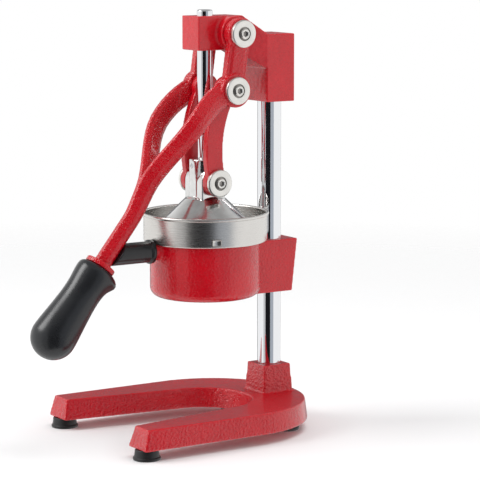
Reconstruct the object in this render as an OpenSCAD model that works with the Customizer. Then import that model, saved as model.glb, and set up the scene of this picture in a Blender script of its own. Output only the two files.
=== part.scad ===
// Lever citrus press: horseshoe base, chrome column, head casting, bowl holder with a steel
// juice bowl, and a forked handle that drives a press cone down through a pair of links.
// Sizes in millimetres. Z is up, the legs and the handle point to -Y, and the surface that
// the press stands on is z = 0. The origin is on that surface, under the middle of the
// whole press, and the press axis stands press_y behind it.

/* [Base] */
// Width of the base across its legs, at the bottom edge
base_w = 184; // [170:1:225]
// Reach of the legs in front of the press axis, at the bottom edge
leg_front = 121; // [95:1:150]
// Height of the base casting
base_h = 19.5; // [16:0.5:26]
// Gap under the base casting, which the feet fill
foot_h = 9.7; // [7:0.1:14]
// Half width of the slot between the legs at their front ends
slot_front = 66; // [55:1:66]
// Radius of the round rear end of the slot
slot_r = 48; // [38:1:49]
// How far the sides lean in from the bottom edge to the top
draft = 2.5; // [1:0.1:3]
// Width and depth of the column block at its top
block_top = 30; // [28:0.5:38]
// Height of the column block above the base casting
block_h = 27; // [20:1:40]

/* [Feet] */
// Radius of a foot at the floor
foot_r = 12.8; // [9:0.1:13]
// Distance of the front feet from the leg ends
foot_inset = 9.5; // [9.5:0.5:20]

/* [Column] */
// Diameter of the column
column_d = 22.6; // [18:0.1:27]
// Distance of the column axis behind the press axis
column_back = 72.8; // [70:0.1:90]

/* [Head] */
// Height of the head casting's top
head_top = 394.5; // [380:0.5:475]
// Width of the front block that guides the rod
head_w = 29.4; // [25:0.2:30]
// Height of the front block
head_h = 32; // [28:0.5:40]
// Reach of the front block in front of the press axis
head_front = 16; // [13:0.5:20]
// Width of the rear box that clamps the column
box_w = 40; // [36:0.5:50]
// Depth of the rear box
box_d = 31.4; // [31:0.2:38]
// Height of the rear box
box_h = 64.5; // [50:0.5:80]
// Step from the front block's top down to the rear box's top
box_drop = 18; // [10:0.5:24]
// Radius of the pivot bosses on the head's sides
head_boss_r = 16; // [13:0.2:16]

/* [Bowl and holder] */
// Height of the holder's top edge
holder_top = 182; // [170:0.5:200]
// Outer radius of the holder
holder_r = 52.7; // [50:0.1:55]
// Height of the holder's wall
holder_h = 52.5; // [44:0.5:60]
// Thickness of the holder's wall
holder_wall = 5; // [4:0.1:6]
// Width of the arm that joins the holder to the column
arm_w = 30; // [29:0.5:36]
// Outer radius of the bowl's wall
bowl_r = 58.5; // [57:0.1:64]
// Height of the bowl above the holder
bowl_h = 28; // [20:0.5:35]
// Thickness of the bowl's sheet
sheet = 1; // [0.8:0.1:1.5]
// Radius of the rolled bead on the bowl's edge
bead_r = 1.5; // [1.2:0.1:2]

/* [Press cone] */
// Outer radius of the press cone's mouth
cone_r = 46; // [40:0.5:50]
// Radius of the press cone's hub
hub_r = 15; // [13:0.2:15.4]
// Width across the two ears, which the links run against
ear_w = 31; // [31:0.2:34]
// Radius of the ears around the press pivot
ear_r = 13; // [11:0.2:14]
// Height of the press pivot above the bowl's edge
pivot_over_rim = 28.8; // [27:0.2:36]
// Diameter of the guide rod
rod_d = 14.6; // [12:0.1:17]
// Height of the guide rod's end above the head
rod_over_head = 5.5; // [2:0.5:20]

/* [Linkage] */
// Distance of the head pivot behind the press axis
pivot_back = 19.8; // [16:0.2:24]
// Depth of the head pivot below the head's top
pivot_down = 16.1; // [14:0.1:20]
// Distance from the head pivot to the elbow pivot
crank_r = 53.1; // [44:0.1:56]
// Thickness of a link
link_t = 7.6; // [6:0.1:9]
// Width of a link between its eyes
link_w = 17.5; // [14:0.5:19]
// How far a link bows forward
link_bow = 8.9; // [6:0.1:11]
// Radius of the link eyes
eye_r = 13; // [11:0.2:14]
// Diameter of the pivot bolts
bolt_d = 8; // [6:0.1:9]
// Radius of the washers on the pivots
washer_r = 12.9; // [11:0.1:13]
// Thickness of those washers
washer_t = 4; // [3:0.1:5]

/* [Handle] */
// Thickness of the crank eyes at the head pivot
crank_t = 10.2; // [8:0.1:12]
// Radius of the crank eyes at the head pivot
crank_eye_r = 14.5; // [13:0.1:16]
// Radius of the elbow bosses
elbow_r = 15.8; // [13.4:0.1:16]
// Thickness of the elbow bosses
elbow_t = 12; // [10:0.1:14]
// Width of the crank between its two pivots
crank_w = 21.5; // [16:0.5:24]
// Height of the fork arms, across their run
prong_h = 18.8; // [13:0.1:20]
// Height of the fork arms where they leave the elbow
prong_root = 22.6; // [14:0.1:26]
// How far the fork arms bow outwards below the elbow
prong_bow = 3.4; // [0:0.1:6]
// Width of the fork arms
prong_w = 11.8; // [9:0.1:11.8]
// Slope of the straight stem from the horizontal
stem_slope = 51.3; // [45:0.1:58]
// Height of the stem
stem_h = 15.2; // [13:0.1:17]
// Width of the stem
stem_w = 14.4; // [14:0.1:17]
// Length of the stem from the bumper's middle to the collar
stem_tail = 9; // [7.5:0.5:16]
// Diameter of the collar above the grip
collar_d = 29.4; // [24:0.2:34]
// Length of the grip
grip_len = 98; // [80:1:120]
// Radius of the grip at its thickest
grip_r = 21.3; // [17:0.1:24]

/* [Bumper] */
// Length of the rubber bumper in front of the holder's boss
bumper_len = 37.2; // [34:0.1:46]
// Radius of the bumper
bumper_r = 10; // [8.5:0.1:11]
// Depth of the bumper's axis below the holder's top
bumper_down = 6; // [6:0.5:12]

/* [Fits] */
// Radial clearance of shafts and pivot bolts that turn or slide
run_gap = 0.1; // [0.05:0.01:0.1]
// Radial clearance of parts that are clamped
clamp_gap = 0.05; // [0.02:0.01:0.1]
// Gap between faces that turn against each other
side_gap = 0.3; // [0.2:0.05:0.4]

/* [Hidden] */

round_fn = 64;
small_fn = 32;
eps = 0.01;
rod_bevel = 1;
foot_screw_d = 4.6;
set_screw_d = 6;
column_bolt_d = 8.5;
column_bolt_head = 6.6;
column_bolt_grip = 34;
column_washer_r = 12;
column_washer_t = 2;
column_recess = 6;
lug_turn = 68.5;

RED = [0.72, 0.05, 0.09];
DARK_RED = [0.62, 0.03, 0.06];
CHROME = [0.80, 0.81, 0.83];
STEEL = [0.74, 0.73, 0.71];
ALUMINIUM = [0.82, 0.82, 0.81];
NICKEL = [0.86, 0.85, 0.82];
RUBBER = [0.10, 0.10, 0.11];

// Heights
base_top = foot_h + base_h;
block_z = base_top + block_h;
rim_z = holder_top + bowl_h;
press_z = rim_z + pivot_over_rim;
pivot_z = head_top - pivot_down;
head_bottom = head_top - head_h;
box_top = head_top - box_drop;
box_bottom = box_top - box_h;
rod_top = head_top + rod_over_head;

// Linkage at rest: head pivot, elbow and press pivot lie on one straight line
lean = atan2(pivot_back, pivot_z - press_z);
link_len = norm([pivot_back, pivot_z - press_z]) - crank_r;
elbow_y = pivot_back - crank_r * sin(lean);
elbow_z = pivot_z - crank_r * cos(lean);

// Stack across the press, from the middle outwards
ear_x = ear_w / 2;
link_in = ear_x + side_gap;
link_out = link_in + link_t;
fork_in = link_out + side_gap + 0.2;
head_boss_x = fork_in - side_gap;
crank_out = fork_in + crank_t;
elbow_out = fork_in + elbow_t;

// Bowl holder and the stub that carries the bumper
holder_bottom = holder_top - holder_h;
bowl_inner_r = holder_r - holder_wall - 1.2;
arm_back = column_back + column_d / 2 + 12;
arm_back_low = column_back + column_d / 2 + 6;
bumper_z = holder_top - bumper_down;
bumper_root = bowl_r + 2;
bumper_tip = bumper_root + bumper_len;
boss_r = 9;
stub_r = 5.5;
stub_len = 22;

// Handle's straight stem: its underside rests on the slanted end of the bumper
stem_dir = [0, -cos(stem_slope), -sin(stem_slope)];
stem_rest = [0, -bumper_tip - (stem_h / 2) / sin(stem_slope), bumper_z];
stem_start = stem_rest - 40 * stem_dir;
collar_at = stem_rest + stem_tail * stem_dir;
collar_t = 4.7;
grip_at = collar_at + collar_t * stem_dir;
tang_r = 6;
tang_len = grip_len * 0.75;
neck_r = grip_r * 0.80;
flare_r = grip_r * 0.97;

// Base plan
base_half = base_w / 2;
arc_y = 7;
slot_y = -3.5;
front_foot_x = (base_half + slot_front) / 2 - 1.2;
front_foot_y = -leg_front + foot_inset;
rear_foot_x = base_half * 0.5;
rear_foot_y = 62;
block_foot = block_top + 4.5;
socket_floor = foot_h + 13;
under_depth = 9;

// The whole press reaches from the grip's bulb to the rear of the base
bulb_at = grip_at + (grip_len - grip_r) * stem_dir;
front_reach = -bulb_at[1] + grip_r;
rear_reach = base_half + arc_y;
press_y = (front_reach - rear_reach) / 2;

// ---------------------------------------------------------------- helpers

// Moves a piece from the press axis's frame to the model's frame
module placed() translate([0, press_y, 0]) children();

// The piece on the left is the mirror image of the one on the right
module side(s) { if (s > 0) children(); else mirror([1, 0, 0]) children(); }

// A cylinder along X from x0 to x1 on the axis through [y, z]
module bar_x(r, x0, x1, y, z, fn = small_fn)
    translate([x0, y, z]) rotate([0, 90, 0]) cylinder(r = r, h = x1 - x0, $fn = fn);

// A cylinder along Y from y0 to y1 on the axis through [x, z]
module bar_y(r, y0, y1, x, z, fn = small_fn)
    translate([x, y0, z]) rotate([-90, 0, 0]) cylinder(r = r, h = y1 - y0, $fn = fn);

// An outline in the YZ plane, extruded along X from x0 to x1
module plate_x(x0, x1)
    translate([x0, 0, 0]) rotate([90, 0, 90]) linear_extrude(x1 - x0) children();

// A block whose bottom and top outlines differ: four corners each, in the same order
module tapered(low, high, z0, z1)
    polyhedron(
        points = concat([for (p = low) [p[0], p[1], z0]], [for (p = high) [p[0], p[1], z1]]),
        faces = concat([[3, 2, 1, 0], [4, 5, 6, 7]],
            [for (k = [0:3]) let (m = (k + 1) % 4) each [[k, m, m + 4], [k, m + 4, k + 4]]]));

// The corners of a centred rectangle, clockwise seen from above
function box4(w, d, y) = [[-w / 2, y - d / 2], [-w / 2, y + d / 2], [w / 2, y + d / 2], [w / 2, y - d / 2]];

// A cap screw or bolt along +X: head under x = head_t, shank to x = -len
module socket_bolt(d, len, head_r, head_t, hex) {
    difference() {
        union() {
            bar_x(head_r, 0, head_t, 0, 0);
            bar_x(d / 2, -len, 0, 0, 0);
        }
        translate([head_t * 0.35, 0, 0]) rotate([0, 90, 0])
            cylinder(r = hex / sqrt(3), h = head_t, $fn = 6);
    }
}

// A headless screw along -Y with a hex socket in its rear end
module set_screw(d, y0, y1, x, z) {
    difference() {
        bar_y(d / 2, y0, y1, x, z);
        translate([x, y1 - 3, z]) rotate([-90, 0, 0]) cylinder(r = d * 0.29, h = 4, $fn = 6);
    }
}

// ---------------------------------------------------------------- base and column

module base_outline_solid() {
    // Round rear part, with leaning sides
    translate([0, arc_y, foot_h])
        cylinder(r1 = base_half, r2 = base_half - draft, h = base_h, $fn = 128);
    // Straight part under the legs
    tapered(
        [[-base_half, -leg_front], [-base_half, arc_y], [base_half, arc_y], [base_half, -leg_front]],
        [[-base_half + draft, -leg_front + 2 * draft], [-base_half + draft, arc_y],
         [base_half - draft, arc_y], [base_half - draft, -leg_front + 2 * draft]],
        foot_h, base_top);
}

module base_slot() {
    low = slot_front - 1.5 * draft;
    over = 1;
    translate([0, slot_y, foot_h - over])
        cylinder(r1 = slot_r - 1.2 * draft, r2 = slot_r, h = base_h + 2 * over, $fn = 96);
    tapered(
        [[-low, -leg_front - 20], [-slot_r + 1.2 * draft, slot_y],
         [slot_r - 1.2 * draft, slot_y], [low, -leg_front - 20]],
        [[-slot_front - 2, -leg_front - 20], [-slot_r, slot_y],
         [slot_r, slot_y], [slot_front + 2, -leg_front - 20]],
        foot_h - over, base_top + over);
}

module leg_pocket() {
    // A channel cast into the underside of a leg
    wall = 5;
    linear_extrude(under_depth + foot_h)
        polygon([
            [slot_front + wall, -leg_front + 2.6 * foot_r],
            [base_half - draft - wall, -leg_front + 2.6 * foot_r],
            [base_half - draft - wall, arc_y],
            [slot_r + 12 + wall, slot_y]]);
}

module base() color(DARK_RED) placed() {
    difference() {
        union() {
            difference() { base_outline_solid(); base_slot(); }
            tapered(box4(block_foot, block_foot, column_back), box4(block_top, block_top, column_back),
                base_top - 1, block_z);
        }
        for (s = [-1, 1]) side(s) leg_pocket();
        // Column socket, open at the block's top
        translate([0, column_back, socket_floor])
            cylinder(d = column_d + 2 * clamp_gap, h = block_z, $fn = round_fn);
        // Clearance hole and recess for the column bolt
        translate([0, column_back, 0]) cylinder(d = column_bolt_d + 2, h = block_z, $fn = small_fn);
        translate([0, column_back, 0]) cylinder(r = column_washer_r + 1, h = foot_h + column_recess, $fn = small_fn);
        // Screw holes of the feet
        for (p = foot_places) translate([p[0], p[1], 0])
            cylinder(d = foot_screw_d + 2 * run_gap, h = base_top - 5, $fn = small_fn);
    }
}

foot_places = [
    [-front_foot_x, front_foot_y], [front_foot_x, front_foot_y],
    [-rear_foot_x, rear_foot_y], [rear_foot_x, rear_foot_y]];

module foot(p) color(RUBBER) placed() translate([p[0], p[1], 0]) {
    lip = 2.2;
    rotate_extrude($fn = round_fn)
        polygon([
            [2.6, 3.2], [6, 3.2], [6, 0], [foot_r, 0], [foot_r, lip], [foot_r - 1.1, lip + 0.9],
            [foot_r - 2, foot_h], [2.6, foot_h]]);
}

module foot_front_left() foot(foot_places[0]);
module foot_front_right() foot(foot_places[1]);
module foot_rear_left() foot(foot_places[2]);
module foot_rear_right() foot(foot_places[3]);

module foot_screws() color(NICKEL) placed() {
    for (p = foot_places) translate([p[0], p[1], 0]) difference() {
        union() {
            translate([0, 0, 0.6]) cylinder(r = 4.6, h = 2.6, $fn = small_fn);
            translate([0, 0, 3.1]) cylinder(d = foot_screw_d, h = foot_h + 8 - 3.1, $fn = small_fn);
        }
        for (a = [0, 90]) rotate(a) translate([-2.6, -0.4, 0]) cube([5.2, 0.8, 1.6]);
    }
}

column_top = box_top - 8;
column_washer_z = foot_h + column_recess - column_washer_t;

module column() color(CHROME) placed() translate([0, column_back, 0]) difference() {
    union() {
        translate([0, 0, socket_floor])
            cylinder(d = column_d, h = column_top - rod_bevel - socket_floor, $fn = round_fn);
        translate([0, 0, column_top - rod_bevel - eps])
            cylinder(d1 = column_d, d2 = column_d - 2 * rod_bevel, h = rod_bevel + eps, $fn = round_fn);
    }
    // Tapped hole for the bolt from below
    translate([0, 0, socket_floor - 1])
        cylinder(d = column_bolt_d + 2 * clamp_gap, h = column_bolt_grip + 6, $fn = small_fn);
}

module column_bolt() color(NICKEL) placed() translate([0, column_back, 0]) {
    translate([0, 0, column_washer_z - column_bolt_head])
        cylinder(r = 7.5, h = column_bolt_head, $fn = 6);
    translate([0, 0, foot_h])
        cylinder(d = column_bolt_d, h = socket_floor + column_bolt_grip - foot_h, $fn = small_fn);
}

module column_washer() color(NICKEL) placed() translate([0, column_back, column_washer_z]) difference() {
    cylinder(r = column_washer_r, h = column_washer_t, $fn = small_fn);
    translate([0, 0, -1]) cylinder(d = column_bolt_d + 0.5, h = column_washer_t + 2, $fn = small_fn);
}

// ---------------------------------------------------------------- head

box_front = column_back - box_d / 2;
box_rear = column_back + box_d / 2;
slope_from = pivot_back + 12.6;

module head_profile() polygon([
    [-head_front, head_bottom], [pivot_back + 3.5, head_bottom], [box_front + 2, box_bottom + 31],
    [box_front + 2, box_top - 0.5], [slope_from, head_top], [-head_front, head_top]]);

module head() color(RED) placed() {
    rear_clear = column_d / 2 + clamp_gap;
    difference() {
        union() {
            plate_x(-head_w / 2, head_w / 2) head_profile();
            // The neck widens towards the rear box
            intersection() {
                plate_x(-box_w, box_w) head_profile();
                linear_extrude(head_top + 1) polygon([
                    [-head_w / 2, slope_from - 4], [head_w / 2, slope_from - 4],
                    [box_w / 2, box_front + 1], [-box_w / 2, box_front + 1]]);
            }
            translate([-box_w / 2, box_front, box_bottom]) cube([box_w, box_d, box_h]);
            bar_x(head_boss_r, -head_boss_x, head_boss_x, pivot_back, pivot_z, round_fn);
        }
        // Guide bore for the rod
        translate([0, 0, head_bottom - 1])
            cylinder(d = rod_d + 2 * run_gap, h = head_h + 2, $fn = round_fn);
        // Blind bore for the column
        translate([0, column_back, box_bottom - 1])
            cylinder(r = rear_clear, h = column_top + 0.5 - box_bottom + 1, $fn = round_fn);
        // Tapped holes for the pivot bolts
        for (s = [-1, 1]) side(s)
            bar_x(bolt_d / 2 - 1 + clamp_gap, head_boss_x - 13.5, head_boss_x + 1, pivot_back, pivot_z);
        // Tapped holes for the set screws
        for (z = head_screw_z)
            bar_y(set_screw_d / 2 + clamp_gap, column_back, box_rear + 1, 0, z);
    }
}

head_screw_z = [box_bottom + 14, box_bottom + 42];

module head_set_screws() color(RUBBER) placed()
    for (z = head_screw_z) set_screw(set_screw_d, column_back + column_d / 2, box_rear - 0.6, 0, z);

// ---------------------------------------------------------------- holder and bumper

module holder_wall_profile() {
    corner = 9;
    lip = 13;
    difference() {
        union() {
            translate([holder_r - holder_wall, holder_bottom + corner])
                square([holder_wall, holder_h - corner]);
            translate([holder_r - corner - lip, holder_bottom]) square([lip, holder_wall]);
            intersection() {
                translate([holder_r - corner, holder_bottom + corner]) circle(r = corner, $fn = round_fn);
                translate([holder_r - corner, holder_bottom]) square(corner);
            }
        }
        translate([holder_r - corner, holder_bottom + corner])
            intersection() {
                circle(r = corner - holder_wall, $fn = small_fn);
                translate([0, -corner]) square(corner);
            }
    }
}

arm_profile_top = holder_top - 3.5;
arm_profile_low = holder_bottom - 2;

module bowl_holder() color(DARK_RED) placed() {
    difference() {
        union() {
            rotate_extrude($fn = 128) holder_wall_profile();
            // Arm and column clamp
            difference() {
                plate_x(-arm_w / 2, arm_w / 2) polygon([
                    [holder_r - 14, arm_profile_low + 3], [holder_r - 4, arm_profile_low],
                    [arm_back_low, arm_profile_low], [arm_back, arm_profile_top],
                    [holder_r - 4, arm_profile_top]]);
                translate([0, 0, holder_bottom + holder_wall])
                    cylinder(r = holder_r - holder_wall, h = holder_h, $fn = 128);
                translate([0, 0, holder_bottom - 10])
                    cylinder(r = holder_r - 22, h = 30, $fn = round_fn);
            }
            // Stub for the bumper
            bar_y(boss_r, -bumper_root + 1, -holder_r + 2, 0, bumper_z);
            bar_y(stub_r, -bumper_root - stub_len, -holder_r + 2, 0, bumper_z);
        }
        // The boss stops at the holder's top edge, under the bowl
        translate([0, 0, holder_top]) cylinder(r = bumper_root, h = boss_r, $fn = 128);
        translate([0, column_back, holder_bottom - 10])
            cylinder(d = column_d + 2 * clamp_gap, h = holder_h + 20, $fn = round_fn);
        for (z = holder_screw_z)
            bar_y(set_screw_d / 2 + clamp_gap, column_back, arm_back + 4, 0, z);
    }
}

holder_screw_z = [holder_top - 16, holder_top - 34];
function arm_rear(z) = arm_back_low + (arm_back - arm_back_low)
    * (z - arm_profile_low) / (arm_profile_top - arm_profile_low);

module holder_set_screws() color(RUBBER) placed()
    for (z = holder_screw_z) set_screw(set_screw_d, column_back + column_d / 2, arm_rear(z) - 1, 0, z);

module bumper() color(RUBBER) placed() difference() {
    union() {
        bar_y(bumper_r + 1.4, -bumper_root - 3, -bumper_root + 1 - 0.1, 0, bumper_z, round_fn);
        bar_y(bumper_r, -bumper_tip - 14, -bumper_root, 0, bumper_z, round_fn);
    }
    bar_y(stub_r + clamp_gap, -bumper_root - stub_len - 0.5, -holder_r, 0, bumper_z);
    // End cut to the slope of the handle's stem
    translate([0, -bumper_tip + side_gap, bumper_z]) rotate([stem_slope - 90, 0, 0])
        translate([-40, -60, -60]) cube([80, 60, 120]);
}

// ---------------------------------------------------------------- bowl, strainer and reamer

module juice_bowl() color(STEEL) placed() {
    floor_z = holder_top;
    cone_z = holder_bottom + 22;
    spout_r = 12;
    spout_z = holder_bottom + 2;
    rotate_extrude($fn = 128) {
        // Upper wall, shoulder, lower wall, funnel and spout
        translate([bowl_r - sheet, floor_z]) square([sheet, bowl_h - bead_r]);
        translate([bowl_inner_r - sheet, floor_z]) square([bowl_r - bowl_inner_r + sheet, sheet]);
        translate([bowl_inner_r - sheet, cone_z]) square([sheet, floor_z + sheet - cone_z]);
        polygon([
            [bowl_inner_r, cone_z], [bowl_inner_r - sheet, cone_z], [spout_r - sheet, spout_z + 9],
            [spout_r - sheet, spout_z], [spout_r, spout_z], [spout_r, spout_z + 9 - sheet]]);
        // Rolled bead
        translate([bowl_r - sheet / 2 + 0.9, rim_z - bead_r]) circle(r = bead_r, $fn = small_fn);
    }
    // Locating lugs pressed onto the wall
    for (a = [-lug_turn, lug_turn, 180]) rotate(a - 90)
        translate([bowl_r - sheet, 0, holder_top + 5.5]) rotate([0, 90, 0])
            cylinder(r = 2.4, h = sheet + 2, $fn = small_fn);
}

strainer_z = holder_top + sheet;
strainer_t = 1.2;
reamer_r = cone_r - 10;

module strainer() color(STEEL) placed() {
    hole_rings = [reamer_r + 2.6, reamer_r + 6.2];
    difference() {
        translate([0, 0, strainer_z]) cylinder(r = bowl_r - sheet - 0.6, h = strainer_t, $fn = 96);
        for (r = hole_rings, a = [0:9:351]) rotate(a + (r == hole_rings[0] ? 4.5 : 0))
            translate([r, 0, strainer_z - 1]) cylinder(d = 2.6, h = strainer_t + 2, $fn = 16);
        translate([0, 0, strainer_z - 1]) cylinder(r = 5, h = strainer_t + 2, $fn = small_fn);
    }
}

module reamer() color(ALUMINIUM) placed() translate([0, 0, strainer_z + strainer_t]) {
    tip = 26;
    rotate_extrude($fn = round_fn)
        polygon([[0, 0], [reamer_r, 0], [reamer_r, 2], [reamer_r * 0.80, 5], [reamer_r * 0.28, tip - 5],
            [reamer_r * 0.12, tip - 1.6], [0, tip]]);
    // Ridges that cut into the fruit
    for (a = [0:45:315]) rotate(a) reamer_ridge(tip);
    // Peg that centres the reamer in the strainer
    translate([0, 0, -strainer_t - 3])
        cylinder(r = 5 - clamp_gap, h = strainer_t + 3 + eps, $fn = small_fn);
}

// One upright ridge along a flank of the reamer
module reamer_ridge(tip)
    rotate([90, 0, 0]) translate([0, 0, -1]) linear_extrude(2)
        polygon([[1, 1], [reamer_r - 0.5, 1], [reamer_r - 0.5, 3.4], [reamer_r * 0.82, 7],
            [reamer_r * 0.30, tip - 2.6], [1, tip - 1]]);

// ---------------------------------------------------------------- press cone and rod

mouth_z = rim_z - 20;
shoulder_z = press_z - max(ear_r, eye_r) - 2.6;
hub_top = press_z + 21.5;
cone_wall = 3;
rod_foot = press_z - 7;
pin_r = 2;
pin_z = press_z + 15;

module press_cone() color(ALUMINIUM) placed() {
    difference() {
        union() {
            rotate_extrude($fn = 96)
                polygon([
                    [0, hub_top], [hub_r - 0.8, hub_top], [hub_r, hub_top - 0.8], [hub_r, shoulder_z + 1.5],
                    [hub_r + 4, shoulder_z - 0.5], [cone_r, mouth_z + 7], [cone_r, mouth_z],
                    [cone_r - cone_wall, mouth_z], [cone_r - cone_wall, mouth_z + 5],
                    [hub_r, shoulder_z - 3], [0, shoulder_z - 3]]);
            // Ears on both sides of the hub, for the links
            for (s = [-1, 1]) side(s) {
                bar_x(ear_r, 4, ear_x, 0, press_z, round_fn);
                translate([4, -ear_r, shoulder_z - 1])
                    cube([ear_x - 4, 2 * ear_r, press_z - shoulder_z + 1]);
            }
        }
        translate([0, 0, rod_foot]) cylinder(d = rod_d + 2 * clamp_gap, h = 60, $fn = round_fn);
        for (s = [-1, 1]) side(s)
            bar_x(bolt_d / 2 - 1 + clamp_gap, rod_d / 2 + 1.2, ear_x + 1, 0, press_z);
        // Cross hole for the pin that holds the rod
        bar_y(pin_r + clamp_gap, -hub_r - 1, hub_r + 1, 0, pin_z);
    }
}

module guide_rod() color(CHROME) placed() difference() {
    union() {
        translate([0, 0, rod_foot])
            cylinder(d = rod_d, h = rod_top - rod_bevel - rod_foot, $fn = round_fn);
        translate([0, 0, rod_top - rod_bevel - eps])
            cylinder(d1 = rod_d, d2 = rod_d - 2 * rod_bevel, h = rod_bevel + eps, $fn = round_fn);
    }
    bar_y(pin_r + clamp_gap, -rod_d, rod_d, 0, pin_z);
}

module rod_pin() color(STEEL) placed() bar_y(pin_r, -hub_r + 0.6, hub_r - 0.6, 0, pin_z);

// ---------------------------------------------------------------- links

// Flat bowed bar between the press pivot and the elbow, in a frame with the press pivot at
// the origin and the elbow on +Z
module link_outline() {
    arc_r = link_len * link_len / (8 * link_bow) + link_bow / 2;
    intersection() {
        translate([arc_r - link_bow, link_len / 2]) difference() {
            circle(r = arc_r + link_w / 2, $fn = 180);
            circle(r = arc_r - link_w / 2, $fn = 180);
        }
        translate([-40, 0]) square([80, link_len]);
    }
    circle(r = eye_r, $fn = round_fn);
    translate([0, link_len]) circle(r = eye_r, $fn = round_fn);
}

module link(s) color(RED) placed() side(s) difference() {
    translate([0, 0, press_z]) rotate([-lean, 0, 0]) plate_x(link_in, link_out) link_outline();
    bar_x(bolt_d / 2 + run_gap, link_in - 1, link_out + 1, 0, press_z);
    bar_x(bolt_d / 2 + run_gap, link_in - 1, link_out + 1, elbow_y, elbow_z);
}

module link_left() link(-1);
module link_right() link(1);

// ---------------------------------------------------------------- handle and grip

function ease(u) = u <= 0 ? 0 : u >= 1 ? 1 : u * u * (3 - 2 * u);
function bez(p, t) = pow(1 - t, 3) * p[0] + 3 * pow(1 - t, 2) * t * p[1]
    + 3 * (1 - t) * t * t * p[2] + pow(t, 3) * p[3];
function bez_dir(p, t) = pow(1 - t, 2) * (p[1] - p[0]) + 2 * (1 - t) * t * (p[2] - p[1])
    + t * t * (p[3] - p[2]);

// Run of a fork arm in the YZ plane, from the elbow to where the straight stem starts
prong_run = [
    [elbow_y, elbow_z], [elbow_y - 48, elbow_z - 7.5],
    [stem_start[1], stem_start[2]] - 28.5 * [stem_dir[1], stem_dir[2]], [stem_start[1], stem_start[2]]];
prong_x0 = fork_in + prong_w / 2 + 0.2;
prong_x1 = (stem_w - prong_w) / 2;
// Shares of the run: the bow starts clear of the washer, and the arms close to the fork point
bow_from = 0.09;
bow_full = 0.30;
close_from = 0.33;
fork_point = 0.75;
function prong_x(t) = prong_x1 + (prong_x0 - prong_x1) * (1 - ease((t - close_from) / (fork_point - close_from)))
    + prong_bow * ease((t - bow_from) / (bow_full - bow_from))
        * (1 - ease((t - bow_full) / (fork_point - bow_full)));
function prong_height(t) = prong_h + (stem_h - prong_h) * ease((t - 0.6) / 0.4)
    + (prong_root - prong_h) * (1 - ease(t / 0.45));

// Eight-sided section of a fork arm: the first number is outwards, the second across the run
prong_section = [
    [-0.5, -0.28], [-0.5, 0.26], [-0.26, 0.5], [0.12, 0.5],
    [0.5, 0.06], [0.5, -0.26], [0.28, -0.5], [-0.28, -0.5]];

// The section at c in the YZ plane, where the run points along d
function section_at(c, d, x, height) =
    let (n = [-d[1], d[0]] / norm(d))
    [for (q = prong_section) [
        x + q[0] * prong_w,
        c[0] - n[0] * q[1] * height,
        c[1] - n[1] * q[1] * height]];

// One fork arm with its half of the stem, down to just inside the collar
module prong() {
    steps = 20;
    sides = len(prong_section);
    stem_end = collar_at + stem_dir;
    rings = concat(
        [for (i = [0:steps]) let (t = i / steps)
            section_at(bez(prong_run, t), bez_dir(prong_run, t), prong_x(t), prong_height(t))],
        [section_at([stem_end[1], stem_end[2]], [stem_dir[1], stem_dir[2]], prong_x1, stem_h)]);
    count = len(rings);
    walls = [for (i = [0:count - 2], k = [0:sides - 1])
        let (a = i * sides + k, b = i * sides + (k + 1) % sides)
            each [[a, b, b + sides], [a, b + sides, a + sides]]];
    first = [[for (k = [sides - 1:-1:0]) k]];
    last = [[for (k = [0:sides - 1]) (count - 1) * sides + k]];
    intersection() {
        polyhedron(points = [for (r = rings) each r], faces = concat(walls, first, last), convexity = 4);
        // Each arm keeps to its own side of the middle plane, where the two halves join
        translate([0, -300, 0]) cube([100, 600, 500]);
    }
}

// Everything on the stem is drawn along +Z, then laid on the stem's slope
module on_stem(at)
    translate(at) rotate([-90 + stem_slope, 0, 0]) mirror([0, 0, 1]) children();

module crank_plate() {
    // Bar between the head pivot and the elbow, set back from the eyes' faces, with a raised middle
    set_back = 0.3;
    step = 1.6;
    translate([0, pivot_back, pivot_z]) rotate([-lean, 0, 0]) mirror([0, 0, 1]) {
        plate_x(fork_in + set_back, fork_in + crank_t - set_back - step)
            translate([-crank_w / 2, 0]) square([crank_w, crank_r]);
        plate_x(fork_in + set_back, fork_in + crank_t - set_back)
            translate([-crank_w / 2 + 4, 0]) square([crank_w - 8, crank_r]);
    }
}

module handle() color(RED) placed() {
    difference() {
        union() {
            for (s = [-1, 1]) side(s) {
                bar_x(crank_eye_r, fork_in, crank_out, pivot_back, pivot_z, round_fn);
                bar_x(elbow_r, fork_in, elbow_out, elbow_y, elbow_z, round_fn);
                crank_plate();
                prong();
            }
            on_stem(collar_at) cylinder(d = collar_d, h = collar_t, $fn = round_fn);
            on_stem(collar_at) cylinder(r = tang_r, h = collar_t + tang_len, $fn = small_fn);
        }
        for (s = [-1, 1]) side(s) {
            bar_x(bolt_d / 2 + run_gap, fork_in - 1, crank_out + 1, pivot_back, pivot_z);
            bar_x(bolt_d / 2 + clamp_gap, fork_in - 1, elbow_out + 1, elbow_y, elbow_z);
        }
    }
}

module grip() color(RUBBER) placed() on_stem(grip_at) difference() {
    rotate_extrude($fn = 96) {
        bulb_z = grip_len - grip_r;
        difference() {
            union() {
                polygon([
                    [0, 0], [flare_r * 0.80, 0], [flare_r, 4], [flare_r, 8], [neck_r, 24],
                    [neck_r, 30], [grip_r * 0.92, 58], [grip_r, bulb_z], [0, bulb_z]]);
                translate([0, bulb_z]) circle(r = grip_r, $fn = 96);
            }
            translate([-2 * grip_r, -grip_r]) square([2 * grip_r, 2 * grip_len]);
        }
    }
    translate([0, 0, -1]) cylinder(r = tang_r + clamp_gap, h = tang_len + 1.5, $fn = small_fn);
}

// ---------------------------------------------------------------- pivot bolts and washers

head_r = 4.8;
head_t = 3.2;
hex = 5;
recess_r = head_r + 1.6;
recess = 1.4;
seat = washer_t - recess;

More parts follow.
